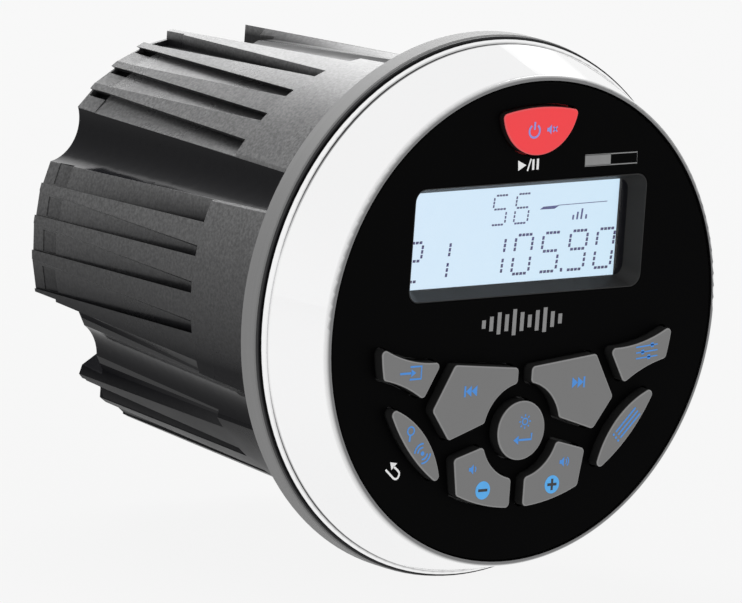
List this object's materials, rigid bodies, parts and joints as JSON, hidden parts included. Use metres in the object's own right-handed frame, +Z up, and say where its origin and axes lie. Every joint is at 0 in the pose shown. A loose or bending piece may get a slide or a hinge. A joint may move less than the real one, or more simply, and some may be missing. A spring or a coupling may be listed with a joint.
{
  "type": "round marine stereo",
  "caption": "Gauge-size round dash stereo: black face with display window and push keys, chrome trim ring, rubber gasket, ribbed tapered barrel.",
  "frame": {"origin": "on the barrel's axis, in the plane of the dash panel, which is the back of the gasket", "axes": "+Y back through the dash along the barrel, -Y out of the face, +Z up with the display above the keys, +X to the right of someone facing the product"},
  "size_m": [0.1038, 0.1019, 0.1038],
  "materials": {
    "chrome_trim": "polished",
    "grey_rubber": "matte",
    "black_housing": "satin",
    "black_rubber": "matte",
    "charcoal_housing": "fine texture",
    "steel": "plated",
    "brass": "machined",
    "connector_white": "satin",
    "tin_pins": "tinned",
    "nickel": "nickel plated",
    "connector_black": "satin",
    "green_board": "solder mask",
    "aluminium": "machined",
    "capacitor_sleeve": "sleeve",
    "ferrite": "coated",
    "display_frame": "satin",
    "clear_window": "clear",
    "display_glass": "lit pale blue",
    "diffuser": "milky",
    "black_face": "smooth satin",
    "grey_key": "soft touch",
    "red_key": "soft touch",
    "plunger_white": "moulded"
  },
  "bodies": {
    "housing": {"bezel_ring": "chrome_trim", "mounting_gasket": "grey_rubber", "front_housing": "black_housing", "face_seal": "black_rubber", "rear_housing": "charcoal_housing", "rear_cover": "charcoal_housing", "rear_seal": "black_rubber", "cover_screws": "steel", "housing_screws": "steel", "board_screws": "steel", "stack_screws": "steel", "clamp_inserts": "brass", "harness_socket": "connector_white", "harness_pins": "tin_pins", "antenna_socket": "nickel", "preout_sockets": "connector_black", "front_standoffs": "steel", "main_board": "green_board", "rear_standoffs": "steel", "amplifier_board": "green_board", "heat_standoffs": "steel", "amplifier_chip": "connector_black", "heat_spreader": "aluminium", "board_link": "connector_black", "tuner_module": "nickel", "power_capacitors": "capacitor_sleeve", "filter_choke": "ferrite", "display_surround": "display_frame", "display_lens": "clear_window", "lcd_glass": "display_glass", "light_guide": "diffuser", "lcd_holder": "display_frame", "face_plate": "black_face", "control_board": "green_board", "switch_housings": "connector_black"},
    "source_button": {"source_key": "grey_key", "source_plunger": "plunger_white"},
    "function_button": {"function_key": "grey_key", "function_plunger": "plunger_white"},
    "previous_button": {"previous_key": "grey_key", "previous_plunger": "plunger_white"},
    "next_button": {"next_key": "grey_key", "next_plunger": "plunger_white"},
    "band_button": {"band_key": "grey_key", "band_plunger": "plunger_white"},
    "menu_button": {"menu_key": "grey_key", "menu_plunger": "plunger_white"},
    "volume_down_button": {"volume_down_key": "grey_key", "volume_down_plunger": "plunger_white"},
    "volume_up_button": {"volume_up_key": "grey_key", "volume_up_plunger": "plunger_white"},
    "power_button": {"power_key": "red_key", "power_plunger": "plunger_white"},
    "select_button": {"select_key": "grey_key", "select_plunger": "plunger_white"}
  },
  "joints": [
    {"name": "source_button_press", "type": "slide", "parent": "housing", "child": "source_button", "axis": [0, 1, 0], "range_m": [0, 0.0008], "stiffness_N_per_m": 1200, "springref_m": -0.0004},
    {"name": "function_button_press", "type": "slide", "parent": "housing", "child": "function_button", "axis": [0, 1, 0], "range_m": [0, 0.0008], "stiffness_N_per_m": 1200, "springref_m": -0.0004},
    {"name": "previous_button_press", "type": "slide", "parent": "housing", "child": "previous_button", "axis": [0, 1, 0], "range_m": [0, 0.0008], "stiffness_N_per_m": 1200, "springref_m": -0.0004},
    {"name": "next_button_press", "type": "slide", "parent": "housing", "child": "next_button", "axis": [0, 1, 0], "range_m": [0, 0.0008], "stiffness_N_per_m": 1200, "springref_m": -0.0004},
    {"name": "band_button_press", "type": "slide", "parent": "housing", "child": "band_button", "axis": [0, 1, 0], "range_m": [0, 0.0008], "stiffness_N_per_m": 1200, "springref_m": -0.0004},
    {"name": "menu_button_press", "type": "slide", "parent": "housing", "child": "menu_button", "axis": [0, 1, 0], "range_m": [0, 0.0008], "stiffness_N_per_m": 1200, "springref_m": -0.0004},
    {"name": "volume_down_button_press", "type": "slide", "parent": "housing", "child": "volume_down_button", "axis": [0, 1, 0], "range_m": [0, 0.0008], "stiffness_N_per_m": 1200, "springref_m": -0.0004},
    {"name": "volume_up_button_press", "type": "slide", "parent": "housing", "child": "volume_up_button", "axis": [0, 1, 0], "range_m": [0, 0.0008], "stiffness_N_per_m": 1200, "springref_m": -0.0004},
    {"name": "power_button_press", "type": "slide", "parent": "housing", "child": "power_button", "axis": [0, 1, 0], "range_m": [0, 0.0008], "stiffness_N_per_m": 1200, "springref_m": -0.0004},
    {"name": "select_button_press", "type": "slide", "parent": "housing", "child": "select_button", "axis": [0, 1, 0], "range_m": [0, 0.0008], "stiffness_N_per_m": 1200, "springref_m": -0.0004}
  ]
}
